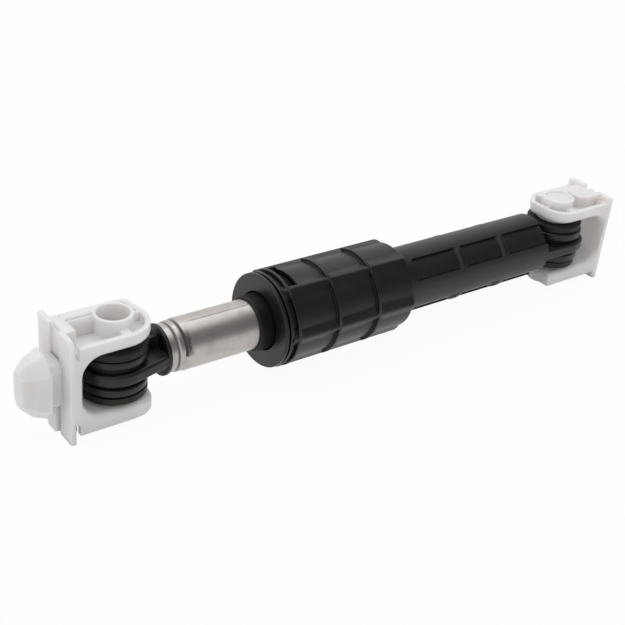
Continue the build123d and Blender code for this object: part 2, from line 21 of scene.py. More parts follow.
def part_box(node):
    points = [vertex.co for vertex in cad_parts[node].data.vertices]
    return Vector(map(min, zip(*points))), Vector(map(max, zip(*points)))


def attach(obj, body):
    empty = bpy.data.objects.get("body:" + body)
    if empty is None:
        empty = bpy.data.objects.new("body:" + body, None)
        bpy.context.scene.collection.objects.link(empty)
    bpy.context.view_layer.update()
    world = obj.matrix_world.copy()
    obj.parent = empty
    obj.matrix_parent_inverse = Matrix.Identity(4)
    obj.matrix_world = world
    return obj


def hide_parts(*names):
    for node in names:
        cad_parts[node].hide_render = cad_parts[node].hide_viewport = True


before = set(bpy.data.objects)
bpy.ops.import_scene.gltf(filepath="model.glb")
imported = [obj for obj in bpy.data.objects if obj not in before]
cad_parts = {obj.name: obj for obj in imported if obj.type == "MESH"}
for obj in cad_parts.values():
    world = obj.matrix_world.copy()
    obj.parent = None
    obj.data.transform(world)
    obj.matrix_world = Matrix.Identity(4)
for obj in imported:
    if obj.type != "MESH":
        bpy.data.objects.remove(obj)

MM = 0.001
MERGE_DISTANCE = 0.001 * MM
TUBE_GROOVE_PLACES = (3.0 * MM, 6.0 * MM)
LOG = logging.getLogger("damper")

Colour = tuple[float, float, float]
Triple = tuple[float, float, float]
Span = tuple[float, float]


class Edge(Enum):
    """How far a piece's edges and inner corners are rounded, in metres."""

    CRISP = 0.10 * MM
    MOULDED = 0.22 * MM
    SOFT = 0.34 * MM


class Role(Enum):
    """What a lamp does in the studio."""

    OVERHEAD = "overhead"
    SIDE = "side"


class Wire:
    """An output socket of a node, on which Python's arithmetic adds Math nodes."""

    def __init__(self, bench: "Bench", socket: bpy.types.NodeSocket) -> None:
        """Keeps the socket and the bench that new nodes are added to."""
        self.bench = bench
        self.socket = socket

    def other(self, output: str | int) -> "Wire":
        """Returns another output of the same node."""
        return Wire(self.bench, self.socket.node.outputs[output])

    def math(self, operation: str, *values: "Wire | float", clamp: bool = False) -> "Wire":
        """Adds a Math node.

        Args:
            operation: The Math node's operation.
            values: Its inputs, in order.
            clamp: Whether the result is held between 0 and 1.

        Returns:
            The node's output.
        """
        settings = {"operation": operation, "use_clamp": clamp}
        return self.bench.add("ShaderNodeMath", settings, dict(enumerate(values)))

    def __add__(self, other: "Wire | float") -> "Wire":
        """Returns self + other."""
        return self.math("ADD", self, other)

    def __radd__(self, other: float) -> "Wire":
        """Returns other + self."""
        return self.math("ADD", other, self)

    def __sub__(self, other: "Wire | float") -> "Wire":
        """Returns self - other."""
        return self.math("SUBTRACT", self, other)

    def __rsub__(self, other: float) -> "Wire":
        """Returns other - self."""
        return self.math("SUBTRACT", other, self)

    def __mul__(self, other: "Wire | float") -> "Wire":
        """Returns self * other."""
        return self.math("MULTIPLY", self, other)

    def __rmul__(self, other: float) -> "Wire":
        """Returns other * self."""
        return self.math("MULTIPLY", other, self)

    def __truediv__(self, other: "Wire | float") -> "Wire":
        """Returns self / other."""
        return self.math("DIVIDE", self, other)

    def __rtruediv__(self, other: float) -> "Wire":
        """Returns other / self."""
        return self.math("DIVIDE", other, self)

    def __abs__(self) -> "Wire":
        """Returns the value without its sign."""
        return self.math("ABSOLUTE", self)

    def clamped(self) -> "Wire":
        """Returns the value held between 0 and 1."""
        return self.math("ADD", self, 0.0, clamp=True)

    def step(self, start: float, end: float) -> "Wire":
        """Adds a smooth rise from 0 to 1; start may be above end.

        Args:
            start: The value that gives 0.
            end: The value that gives 1.

        Returns:
            The result, between 0 and 1.
        """
        low, high, first, last = (start, end, 0.0, 1.0) if start < end else (end, start, 1.0, 0.0)
        settings = {"interpolation_type": "SMOOTHSTEP"}
        values = {"Value": self, "From Min": low, "From Max": high, "To Min": first, "To Max": last}
        return self.bench.add("ShaderNodeMapRange", settings, values)


class Bench:
    """Adds nodes to one tree and links them."""

    def __init__(self, tree: bpy.types.NodeTree) -> None:
        """Keeps the tree."""
        self.tree = tree

    def add(
        self,
        kind: str,
        settings: Mapping[str, Any] | None = None,
        inputs: Mapping[str | int, Any] | None = None,
        output: str | int | None = 0,
    ) -> Wire | None:
        """Adds one node of any type.

        Args:
            kind: The node's type.
            settings: Its properties, set first.
            inputs: Values or wires for its sockets, by name or number.
            output: The output that is returned, or None for a node that ends the tree.

        Returns:
            A wire from the chosen output.
        """
        node = self.tree.nodes.new(kind)
        for name, value in (settings or {}).items():
            setattr(node, name, value)
        for name, value in (inputs or {}).items():
            if isinstance(value, Wire):
                self.tree.links.new(value.socket, node.inputs[name])
            else:
                node.inputs[name].default_value = value
        return None if output is None else Wire(self, node.outputs[output])

    def blend(self, first: Any, second: Any, share: Wire | float) -> Wire:
        """Mixes two colours.

        Args:
            first: The colour at share 0, four numbers or a wire.
            second: The colour at share 1.
            share: How much of the second shows.

        Returns:
            The mixed colour.
        """
        return self.add("ShaderNodeMix", {"data_type": "RGBA"}, {0: share, 6: first, 7: second}, 2)

    def noise(self, place: Wire, scale: float, detail: float = 2.0, stretch: Triple | None = None) -> Wire:
        """Adds cloudy noise.

        Args:
            place: The coordinates it reads.
            scale: Features per metre.
            detail: How many finer layers it has.
            stretch: Scale along each axis, for streaks.

        Returns:
            The noise, about 0.5.
        """
        if stretch is not None:
            place = self.add("ShaderNodeMapping", None, {"Vector": place, "Scale": stretch})
        return self.add("ShaderNodeTexNoise", None, {"Vector": place, "Scale": scale, "Detail": detail})

    def bump(self, height: Wire, depth: float, strength: float) -> Wire:
        """Turns a height into a bumped normal; depth is the height of 1, in metres."""
        inputs = {"Height": height, "Distance": depth, "Strength": strength}
        return self.add("ShaderNodeBump", None, inputs, "Normal")


class Finish(Protocol):
    """A surface finish that can make its material."""

    def make(self) -> bpy.types.Material:
        """Returns the finish's material."""


def made_from(finish: Finish) -> Any:
    """Returns a dataclass field that holds a finish's material."""
    return field(default_factory=finish.make)


def new_material(name: str) -> tuple[bpy.types.Material, Bench, Wire]:
    """Starts an empty material.

    Args:
        name: The material's name.

    Returns:
        The material, its bench and its Object coordinates.
    """
    material = bpy.data.materials.new(name)
    material.use_nodes = True
    material.node_tree.nodes.clear()
    bench = Bench(material.node_tree)
    place = bench.add("ShaderNodeTexCoord", None, None, "Object")
    return material, bench, place


def principled(bench: Bench, values: Mapping[str, Any]) -> None:
    """Ends a material in one Principled shader with these socket values."""
    shader = bench.add("ShaderNodeBsdfPrincipled", None, values)
    bench.add("ShaderNodeOutputMaterial", None, {"Surface": shader}, None)


def opaque(colour: Colour) -> tuple[float, float, float, float]:
    """Adds full opacity to a colour."""
    return (*colour, 1.0)


@dataclass(frozen=True)
class WhiteMoulding:
    """Natural milky plastic, which light enters a little way."""

    name: str = "white_moulding"
    pale: Colour = (0.82, 0.805, 0.812)
    warm: Colour = (0.80, 0.78, 0.765)
    cloud_scale: float = 70.0
    cloud_bounds: Span = (0.35, 0.7)
    roughness: float = 0.42
    gloss_change: float = 0.08
    gloss_scale: float = 260.0
    grain_scale: float = 1800.0
    grain_depth: float = 0.02 * MM
    grain_strength: float = 0.5
    light_depth: float = 4.0 * MM
    light_reach: Triple = (1.0, 0.92, 0.86)
    specular: float = 0.45

    def make(self) -> bpy.types.Material:
        """Makes the material, with faint clouds of tone and a fine moulded grain.

        Returns:
            The material.
        """
        material, bench, place = new_material(self.name)
        clouds = bench.noise(place, self.cloud_scale, detail=3.0).step(*self.cloud_bounds)
        gloss = self.gloss_change * bench.noise(place, self.gloss_scale)
        grain = bench.noise(place, self.grain_scale)
        principled(bench, {
            "Base Color": bench.blend(opaque(self.pale), opaque(self.warm), clouds),
            "Roughness": self.roughness - self.gloss_change / 2 + gloss,
            "Subsurface Weight": 1.0,
            "Subsurface Radius": self.light_reach,
            "Subsurface Scale": self.light_depth,
            "Specular IOR Level": self.specular,
            "Normal": bench.bump(grain, self.grain_depth, self.grain_strength),
        })
        return material


@dataclass(frozen=True)
class BlackMoulding:
    """Filled black plastic, satin, with a fine matt grain and light dust."""

    name: str = "black_moulding"
    colour: Colour = (0.0045, 0.0045, 0.0048)
    dusty: Colour = (0.0085, 0.0083, 0.0083)
    roughness: float = 0.40
    grain_depth: float = 0.012 * MM
    specular: float = 0.42
    dust: Colour = (0.05, 0.05, 0.05)
    dust_share: float = 0.5
    dust_scale: float = 1500.0
    dust_bounds: Span = (0.77, 0.82)
    cloud_scale: float = 55.0
    cloud_bounds: Span = (0.4, 0.75)
    gloss_change: float = 0.12
    flow_scale: float = 60.0
    flow_stretch: Triple = (1.0, 4.0, 4.0)
    grain_scale: float = 2600.0
    grain_strength: float = 0.6

    def make(self) -> bpy.types.Material:
        """Makes the material, glossier and duller along the way the plastic flowed.

        Returns:
            The material.
        """
        material, bench, place = new_material(self.name)
        clouds = bench.noise(place, self.cloud_scale, detail=4.0).step(*self.cloud_bounds)
        specks = bench.noise(place, self.dust_scale, detail=1.0).step(*self.dust_bounds)
        flow = bench.noise(place, self.flow_scale, detail=3.0, stretch=self.flow_stretch)
        grain = bench.noise(place, self.grain_scale, detail=3.0)
        base = bench.blend(opaque(self.colour), opaque(self.dusty), clouds)
        principled(bench, {
            "Base Color": bench.blend(base, opaque(self.dust), specks * self.dust_share),
            "Roughness": self.roughness - self.gloss_change / 2 + self.gloss_change * flow,
            "Specular IOR Level": self.specular,
            "Normal": bench.bump(grain, self.grain_depth, self.grain_strength),
        })
        return material


@dataclass(frozen=True)
class Rubber:
    """Matt black rubber with a slight bloom."""

    name: str = "bush_rubber"
    colour: Colour = (0.0035, 0.0035, 0.0035)
    bloom: Colour = (0.007, 0.0069, 0.0068)
    bloom_scale: float = 160.0
    bloom_bounds: Span = (0.45, 0.8)
    bloom_dullness: float = 0.1
    roughness: float = 0.58
    specular: float = 0.4
    grain_scale: float = 2200.0
    grain_depth: float = 0.02 * MM
    grain_strength: float = 0.7

    def make(self) -> bpy.types.Material:
        """Makes the material, duller where the bloom lies.

        Returns:
            The material.
        """
        material, bench, place = new_material(self.name)
        patches = bench.noise(place, self.bloom_scale, detail=4.0).step(*self.bloom_bounds)
        grain = bench.noise(place, self.grain_scale, detail=4.0)
        principled(bench, {
            "Base Color": bench.blend(opaque(self.colour), opaque(self.bloom), patches),
            "Roughness": self.roughness + self.bloom_dullness * patches,
            "Specular IOR Level": self.specular,
            "Normal": bench.bump(grain, self.grain_depth, self.grain_strength),
        })
        return material


@dataclass(frozen=True)
class RolledSteel:
    """Bright rolled tube with rubbing streaks, a long seam, a dark smear at the crimp and painted shade in
    its two grooves.

    Places along the tube are in millimetres from its outer end, and angles in degrees from +Y
    towards +Z. A pair gives where a mark is gone and where it is full.
    """

    name: str = "rolled_steel"
    bright: Colour = (0.56, 0.53, 0.515)
    # dark colour of the seam and smear, also used for the painted shade in the two grooves
    dull: Colour = (0.37, 0.345, 0.335)
    grease_and_groove_shade: Colour = (0.03, 0.027, 0.025)
    roughness: float = 0.27
    streak_scale: float = 900.0
    streak_stretch: Triple = (0.06, 1.0, 1.0)
    band_scale: float = 240.0
    band_stretch: Triple = (1.6, 0.5, 0.5)
    blotch_scale: float = 170.0
    blotch_bounds: Span = (0.42, 0.72)
    wear_shares: Triple = (0.5, 0.3, 0.2)
    wear_roughness: float = 0.2
    speck_scale: float = 2400.0
    speck_bounds: Span = (0.66, 0.76)
    speck_tone: float = 0.35
    speck_roughness: float = 0.12
    speck_height: float = 0.5
    scratch_depth: float = 0.012 * MM
    scratch_strength: float = 0.8
    # how the dark marks, painted groove shade among them, change colour, metal and gloss
    grease_and_shade_share: float = 0.9
    grease_and_shade_cover: float = 0.6
    grease_and_shade_roughness: float = 0.15
    seam_angle: float = 100.3
    seam_half_angle: Span = (2.55, 0.68)
    seam_wander: float = 1.6
    seam_wander_scale: float = 110.0
    seam_start: Span = (8.5, 13.0)
    seam_darkness: float = 0.5
    smear_place: float = 7.0
    smear_half_width: Span = (2.4, 0.2)
    smear_angle: float = 150.0
    smear_half_angle: Span = (40.0, 8.0)
    smear_raggedness: float = 3.6
    smear_ragged_scale: float = 420.0
    smear_ragged_turn: float = 5.0
    groove_half_width: Span = (0.75, 0.25)
    groove_angle: float = 140.0
    groove_half_angle: Span = (120.0, 40.0)
    groove_darkness: float = 0.9
    first_groove_half_width: Span = (0.5, 0.15)
    first_groove_darkness: float = 0.8

    def make(self) -> bpy.types.Material:
        """Makes the material, worn in streaks, bands and blotches; wear_shares weighs them.

        Returns:
            The material.
        """
        low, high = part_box("plunger_tube")
        axis_z = (low.z + high.z) / 2
        material, bench, place = new_material(self.name)
        parts = bench.add("ShaderNodeSeparateXYZ", None, {0: place})
        x, y, z = parts, parts.other(1), parts.other(2) - axis_z
        angle = x.math("ARCTAN2", z, y) * math.degrees(1.0)
        along = (x - low.x) / MM

        streaks = bench.noise(place, self.streak_scale, detail=4.0, stretch=self.streak_stretch)
        bands = bench.noise(place, self.band_scale, detail=3.0, stretch=self.band_stretch)
        specks = bench.noise(place, self.speck_scale).step(*self.speck_bounds)
        blotches = bench.noise(place, self.blotch_scale, detail=5.0).step(*self.blotch_bounds)
        streak_share, blotch_share, band_share = self.wear_shares
        worn = (streak_share * streaks + blotch_share * blotches + band_share * bands).clamped()
        dark = self.dark_marks(bench, place, along, angle)

        metal = bench.blend(opaque(self.bright), opaque(self.dull), worn + specks * self.speck_tone)
        dullness = self.roughness + self.wear_roughness * worn + self.speck_roughness * specks
        scratches = streaks + specks * self.speck_height
        principled(bench, {
            # mixes in the dark seam and smear, and the painted shade in the grooves
            "Base Color": bench.blend(metal, opaque(self.grease_and_groove_shade), dark * self.grease_and_shade_share),
            "Metallic": 1.0 - self.grease_and_shade_cover * dark,
            "Roughness": (dullness + self.grease_and_shade_roughness * dark).clamped(),
            "Normal": bench.bump(scratches, self.scratch_depth, self.scratch_strength),
        })
        return material

    def dark_marks(self, bench: Bench, place: Wire, along: Wire, angle: Wire) -> Wire:
        """Draws the seam, the smear beside the second groove, and painted shade in the two grooves.

        Args:
            bench: The material's bench.
            place: Its Object coordinates.
            along: Millimetres along the tube.
            angle: Degrees about the tube.

        Returns:
            How dark the steel is, from 0 to 1.
        """
        first, second = (groove / MM for groove in TUBE_GROOVE_PLACES)
        wander = (bench.noise(place, self.seam_wander_scale) - 0.5) * self.seam_wander
        seam = abs(angle - self.seam_angle + wander).step(*self.seam_half_angle)
        seam = seam * along.step(*self.seam_start)

        ragged = (bench.noise(place, self.smear_ragged_scale, detail=3.0) - 0.5) * self.smear_raggedness
        smear = abs(along - self.smear_place + ragged).step(*self.smear_half_width)
        off_smear = abs(angle - self.smear_angle + self.smear_ragged_turn * ragged)
        smear = smear * off_smear.step(*self.smear_half_angle)
        # painted shade: both grooves are darkened where shade falls in them
        groove = abs(along - second).step(*self.groove_half_width)
        groove = groove * abs(angle - self.groove_angle).step(*self.groove_half_angle)
        first_groove = abs(along - first).step(*self.first_groove_half_width)
        grooves = groove * self.groove_darkness + first_groove * self.first_groove_darkness
        return (smear + grooves + seam * self.seam_darkness).clamped()


@dataclass(frozen=True)
class PlainMoulding:
    """A plain inner moulding, foam or soft ring, in one tone with a fine grain."""

    name: str
    colour: Colour
    roughness: float
    grain_scale: float = 1500.0
    grain_depth: float = 0.02 * MM
    grain_strength: float = 0.7
    tone_bounds: Span = (0.35, 0.65)
    dark_share: float = 0.8
    gloss_change: float = 0.1

    def make(self) -> bpy.types.Material:
        """Makes the material, darker and glossier in its grain.

        Returns:
            The material.
        """
        material, bench, place = new_material(self.name)
        grain = bench.noise(place, self.grain_scale, detail=3.0)
        darker = tuple(self.dark_share * channel for channel in self.colour)
        principled(bench, {
            "Base Color": bench.blend(opaque(darker), opaque(self.colour), grain.step(*self.tone_bounds)),
            "Roughness": self.roughness - self.gloss_change / 2 + self.gloss_change * grain,
            "Normal": bench.bump(grain, self.grain_depth, self.grain_strength),
        })
        return material


def copied_node(node: str, name: str) -> bpy.types.Object:
    """Copies a frame node's triangles into a new object.

    Args:
        node: The node that is copied.
        name: The new piece's name.

    Returns:
        The new object, at the origin.
    """
    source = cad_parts[node].data
    mesh = bpy.data.meshes.new(name)
    corners = [vertex.co for vertex in source.vertices]
    mesh.from_pydata(corners, [], [face.vertices for face in source.polygons])
    piece = bpy.data.objects.new(name, mesh)
    bpy.context.scene.collection.objects.link(piece)
    return piece


def merged_shape(mesh: bpy.types.Mesh) -> bmesh.types.BMesh:
    """Reads a node's loose triangles as one joined shape.

    Args:
        mesh: The node's mesh.

    Returns:
        The joined shape.
    """
    shape = bmesh.new()
    shape.from_mesh(mesh)
    bmesh.ops.remove_doubles(shape, verts=shape.verts, dist=MERGE_DISTANCE)
    return shape


def surface(shape: bmesh.types.BMesh) -> float:
    """Returns a shape's area."""
    return sum(face.calc_area() for face in shape.faces)


@dataclass(frozen=True)
class EdgeRounder:
    """Rounds the edges and inner corners of a shape, and leaves those sharp that would fold it.

    Edges that turn by less than sharp_degrees stay as they are, and faces of more than
    face_corners corners are split. A corner may lie up to stray_share of the rounding off the
    plain surface, and a face may turn from it until the cosine is fold_cosine. Edges within
    fold_reach roundings of a fault stay sharp. A rounded shape is kept if few of its edges are
    open and its volume and area changed little.
    """

    edge: Edge
    sharp_degrees: float = 26.0
    rounds: int = 6
    segments: int = 2
    profile: float = 0.5
    face_corners: int = 4
    stray_share: float = 0.45
    fold_cosine: float = 0.1
    fold_reach: float = 2.0
    open_edge_share: float = 0.005
    volume_change: float = 0.02
    area_growth: float = 0.02

    def round(self, mesh: bpy.types.Mesh) -> None:
        """Rounds a mesh's edges wherever its surface stays sound.

        Args:
            mesh: The mesh, which is changed.
        """
        plain = merged_shape(mesh)
        plain.normal_update()
        plain_tree = BVHTree.FromBMesh(plain)
        keep_away: list[Vector] = []
        for _ in range(self.rounds):
            shape = self.bevelled(plain, keep_away)
            faults = self.put_back(shape, plain_tree) + self.folds(shape, plain_tree)
            if not faults:
                break
            keep_away += faults
            shape.free()
        else:
            shape = self.bevelled(plain, keep_away)
            self.put_back(shape, plain_tree)
        if self.is_sound(shape, plain):
            shape.to_mesh(mesh)
            LOG.info("%s: edges rounded but at %d places", mesh.name, len(keep_away))
        else:
            plain.to_mesh(mesh)
            LOG.info("%s: edges left sharp", mesh.name)
        shape.free()
        plain.free()

    def bevelled(self, plain: bmesh.types.BMesh, keep_away: Sequence[Vector]) -> bmesh.types.BMesh:
        """Rounds a copy of a shape.

        Args:
            plain: The shape that is copied.
            keep_away: Places whose nearest edges stay sharp.

        Returns:
            The rounded shape.
        """
        shape = plain.copy()
        limit = math.radians(self.sharp_degrees)
        places = KDTree(max(len(keep_away), 1))
        for number, place in enumerate(keep_away):
            places.insert(place, number)
        places.balance()
        sharp: list[bmesh.types.BMEdge] = []
        for edge in shape.edges:
            if edge.is_manifold and edge.calc_face_angle(0.0) > limit:
                middle = (edge.verts[0].co + edge.verts[1].co) / 2
                reach = edge.calc_length() / 2 + self.fold_reach * self.edge.value
                if not keep_away or places.find(middle)[2] > reach:
                    sharp.append(edge)
        bmesh.ops.bevel(
            shape, geom=sharp, offset=self.edge.value, offset_type="OFFSET", segments=self.segments,
            profile=self.profile, affect="EDGES", clamp_overlap=False, loop_slide=True,
            miter_outer="SHARP", miter_inner="SHARP",
        )
        many_sided = [face for face in shape.faces if len(face.verts) > self.face_corners]
        bmesh.ops.triangulate(shape, faces=many_sided)
        return shape

    def put_back(self, shape: bmesh.types.BMesh, plain_tree: BVHTree) -> list[Vector]:
        """Puts every corner that strayed from the plain surface back on it.

        Args:
            shape: The rounded shape, which is changed.
            plain_tree: The surface before its edges were rounded.

        Returns:
            Where the corners were put back.
        """
        strayed: list[Vector] = []
        for corner in shape.verts:
            nearest, _, _, distance = plain_tree.find_nearest(corner.co)
            if distance > self.stray_share * self.edge.value:
                corner.co = nearest
                strayed.append(nearest)
        return strayed

    def folds(self, shape: bmesh.types.BMesh, plain_tree: BVHTree) -> list[Vector]:
        """Finds the faces that point against the plain surface under them.

        Args:
            shape: The rounded shape.
            plain_tree: The surface before its edges were rounded.

        Returns:
            The middles of those faces.
        """
        shape.normal_update()
        places: list[Vector] = []
        for face in shape.faces:
            middle = face.calc_center_median()
            plain_normal = plain_tree.find_nearest(middle)[1]
            if face.calc_area() > 0.0 and face.normal.dot(plain_normal) < self.fold_cosine:
                places.append(middle)
        return places

    def is_sound(self, shape: bmesh.types.BMesh, plain: bmesh.types.BMesh) -> bool:
        """Tells whether a rounded shape is closed and kept the plain shape's volume and area.

        Args:
            shape: The rounded shape.
            plain: The shape before its edges were rounded.

        Returns:
            Whether the rounded shape is kept.
        """
        open_share = sum(len(edge.link_faces) != 2 for edge in shape.edges) / len(shape.edges)
        volume = plain.calc_volume(signed=True)
        change = abs(shape.calc_volume(signed=True) - volume) / volume
        growth = surface(shape) / surface(plain) - 1.0
        closed = open_share < self.open_edge_share
        return closed and change < self.volume_change and growth < self.area_growth


def shade(piece: bpy.types.Object, crease_degrees: float = 52.0) -> None:
    """Shades a piece smoothly, with normals that follow its larger faces.

    Args:
        piece: The piece.
        crease_degrees: Edges that turn by more than this stay sharp.
    """
    piece.data.shade_smooth()
    piece.data.set_sharp_from_angle(angle=math.radians(crease_degrees))
    weighted = piece.modifiers.new("weighted_normals", "WEIGHTED_NORMAL")
    weighted.keep_sharp = True


def dress(piece: bpy.types.Object, finish: bpy.types.Material, body: str, slot: str, *nodes: str) -> None:
    """Gives a finished piece its material and its place in the frame.

    Args:
        piece: The finished piece.
        finish: Its material.
        body: The body that it rides on.
        slot: A material slot's name; not used.
        nodes: The frame nodes that it stands for.
    """
    piece.data.materials.clear()
    piece.data.materials.append(finish)
    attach(piece, body)
    if nodes:
        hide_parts(*nodes)
    LOG.info("%s rides on %s, %d faces", piece.name, body, len(piece.data.polygons))


def paint(node: str, finish: bpy.types.Material) -> None:
    """Puts a finish on a frame node that shows as it is.

    Args:
        node: The node.
        finish: Its material.
    """
    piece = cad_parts[node]
    piece.data.materials.clear()
    piece.data.materials.append(finish)
    LOG.info("%s keeps its own shape", node)


@dataclass(frozen=True)
class Step:
    """One change of radius along a turned piece, in metres from its start."""

    place: float
    rise: float
    width: float


@dataclass(frozen=True)
class Turned:
    """A piece of revolution whose outline follows a rule, made by Geometry Nodes.

    Its outer radius is the start radius plus every step that lies before that place. Its inner
    radius is either one bore, or the outer radius less one wall. A crowding above 1 draws its rows
    together at its start, and end_rows rows lie on each end face, so that its edges are sharp.
    """

    name: str
    length: float
    start_radius: float
    steps: tuple[Step, ...]
    inner: float
    segments: int
    rows: int
    inner_is_wall: bool = False
    crowding: float = 1.0
    end_rows: float = 2.2

    def make_group(self) -> bpy.types.GeometryNodeTree:
        """Builds the node group, with a named input for every size.

        Returns:
            The node group.
        """
        tree = bpy.data.node_groups.new(f"{self.name}_shape", "GeometryNodeTree")
        for label, kind in self.input_kinds().items():
            tree.interface.new_socket(label, in_out="INPUT", socket_type=kind)
        tree.interface.new_socket("Geometry", in_out="OUTPUT", socket_type="NodeSocketGeometry")
        bench = Bench(tree)
        given = bench.add("NodeGroupInput")
        grid = bench.add("GeometryNodeMeshGrid", None, {
            "Size X": 1.0, "Size Y": 1.0,
            "Vertices X": given.other("Segments"), "Vertices Y": given.other("Rows")})
        corner = bench.add("ShaderNodeSeparateXYZ", None, {0: bench.add("GeometryNodeInputPosition")})
        turn = (corner + 0.5) * math.tau
        radius, along = self.profile(bench, given, corner.other(1) + 0.5)
        place = bench.add("ShaderNodeCombineXYZ", None, {
            0: along, 1: radius * turn.math("COSINE", turn), 2: radius * turn.math("SINE", turn)})
        shaped = bench.add("GeometryNodeSetPosition", None, {"Geometry": grid, "Position": place})
        joined = bench.add("GeometryNodeMergeByDistance", None, {
            "Geometry": shaped, "Distance": MERGE_DISTANCE})
        set_down = bench.add("GeometryNodeTransform", None, {
            "Geometry": joined, "Translation": given.other("Place"), "Rotation": given.other("Turn")})
        real = bench.add("GeometryNodeRealizeInstances", None, {"Geometry": set_down})
        done = bench.add("GeometryNodeSetMaterial", None, {
            "Geometry": real, "Material": given.other("Finish")})
        bench.add("NodeGroupOutput", None, {"Geometry": done}, None)
        return tree

    def profile(self, bench: Bench, given: Wire, loop: Wire) -> tuple[Wire, Wire]:
        """Follows the wall's outline out along the outside and back along the inside.

        Args:
            bench: The group's bench.
            given: The group's inputs.
            loop: How far round the outline a row lies, from 0 to 1.

        Returns:
            The row's radius, and its place along the piece.
        """
        gap = 1.0 / (given.other("Rows") - 1.0)
        margin = self.end_rows * gap
        out_and_back = ((1.0 - abs(2.0 * loop - 1.0) - margin) / (1.0 - 2.0 * margin)).clamped()
        along = given.other("Length") * out_and_back.math("POWER", out_and_back, given.other("Crowding"))
        outer = given.other("Start radius")
        for number in range(1, len(self.steps) + 1):
            place, width = given.other(f"Step {number} place"), given.other(f"Step {number} width")
            bounds = {"Value": along, "From Min": place - width, "From Max": place + width}
            rise = bench.add("ShaderNodeMapRange", {"interpolation_type": "SMOOTHSTEP"}, bounds)
            outer = outer + given.other(f"Step {number} rise") * rise
        wall_or_bore = given.other("Wall or bore")
        inner = outer - wall_or_bore if self.inner_is_wall else wall_or_bore
        after_middle = loop.math("GREATER_THAN", loop, 0.5 + 0.5 * gap)
        inside = after_middle * loop.math("LESS_THAN", loop, 1.0 - 0.5 * gap)
        return outer + inside * (inner - outer), along

    def input_kinds(self) -> dict[str, str]:
        """Lists the group's inputs.

        Returns:
            The type of each input's socket, by the input's name.
        """
        kinds = {
            "Length": "Float", "Start radius": "Float", "Wall or bore": "Float", "Crowding": "Float",
            "Segments": "Int", "Rows": "Int", "Place": "Vector", "Turn": "Rotation", "Finish": "Material"}
        for number in range(1, len(self.steps) + 1):
            kinds |= {f"Step {number} {part}": "Float" for part in ("place", "rise", "width")}
        return {label: f"NodeSocket{kind}" for label, kind in kinds.items()}

    def make(self, place: Vector, turn: Triple, finish: bpy.types.Material) -> bpy.types.Object:
        """Makes the piece.

        Args:
            place: Where the middle of its start lies.
            turn: Euler angles that turn its length from X.
            finish: Its material.

        Returns:
            The finished piece, at the origin.
        """
        values = {
            "Length": self.length, "Start radius": self.start_radius, "Wall or bore": self.inner,
            "Crowding": self.crowding, "Segments": self.segments, "Rows": self.rows,
            "Place": place, "Turn": turn, "Finish": finish}
        for number, step in enumerate(self.steps, start=1):
            values[f"Step {number} place"] = step.place
            values[f"Step {number} rise"] = step.rise
            values[f"Step {number} width"] = step.width
        piece = piece_from_nodes(self.name, self.make_group(), values)
        shade(piece)
        return piece


def piece_from_nodes(
    name: str, tree: bpy.types.GeometryNodeTree, values: Mapping[str, Any]
) -> bpy.types.Object:
    """Turns a node group's result into a plain mesh object.

    Args:
        name: The piece's name.
        tree: The node group.
        values: What its named inputs are given.

    Returns:
        The piece, with its faces outward and no modifier.
    """
    piece = bpy.data.objects.new(name, bpy.data.meshes.new(f"{name}_start"))
    bpy.context.scene.collection.objects.link(piece)
    modifier = piece.modifiers.new("shape", "NODES")
    modifier.node_group = tree
    for item in tree.interface.items_tree:
        if item.item_type == "SOCKET" and item.in_out == "INPUT":
            modifier[item.identifier] = values[item.name]
    piece.update_tag()
    shaped = piece.evaluated_get(bpy.context.evaluated_depsgraph_get())
    mesh = bpy.data.meshes.new_from_object(shaped)
    mesh.name = name
    piece.modifiers.clear()
    piece.data = mesh
    shape = bmesh.new()
    shape.from_mesh(mesh)
    bmesh.ops.dissolve_degenerate(shape, edges=shape.edges, dist=MERGE_DISTANCE / 2)
    if shape.calc_volume(signed=True) < 0.0:
        bmesh.ops.reverse_faces(shape, faces=shape.faces)
    shape.to_mesh(mesh)
    shape.free()
    return piece


def rounded_node(node: str, name: str, edge: Edge) -> bpy.types.Object:
    """Copies a node and rounds the copy's edges.

    Args:
        node: The node that is copied.
        name: The new piece's name.
        edge: How far its edges are rounded.

    Returns:
        The piece, smoothly shaded.
    """
    piece = copied_node(node, name)
    EdgeRounder(edge).round(piece.data)
    shade(piece)
    return piece


@dataclass
class Finishes:
    """Every material of the damper, made once."""

    white: bpy.types.Material = made_from(WhiteMoulding())
    black: bpy.types.Material = made_from(BlackMoulding())
    cap: bpy.types.Material = made_from(BlackMoulding(
        "cap_moulding", colour=(0.007, 0.0073, 0.0073), dusty=(0.011, 0.011, 0.011),
        roughness=0.34, grain_depth=0.008 * MM, specular=0.38))
    carrier: bpy.types.Material = made_from(BlackMoulding(
        "carrier_moulding", colour=(0.002, 0.002, 0.0021), dusty=(0.0035, 0.0035, 0.0035),
        roughness=0.5, grain_depth=0.01 * MM, specular=0.3))
    rubber: bpy.types.Material = made_from(Rubber())
    steel: bpy.types.Material = made_from(RolledSteel())
    buffer: bpy.types.Material = made_from(PlainMoulding(
        "buffer_foam", colour=(0.03, 0.03, 0.03), roughness=0.75, grain_scale=2600.0, grain_depth=0.05 * MM))
    lining: bpy.types.Material = made_from(PlainMoulding(
        "lining_foam", colour=(0.35, 0.30, 0.22), roughness=0.8, grain_scale=2200.0, grain_depth=0.08 * MM))
    sleeve: bpy.types.Material = made_from(PlainMoulding(
        "sleeve_moulding", colour=(0.09, 0.09, 0.09), roughness=0.35))
    ring: bpy.types.Material = made_from(PlainMoulding(
        "ring_moulding", colour=(0.74, 0.72, 0.67), roughness=0.4))


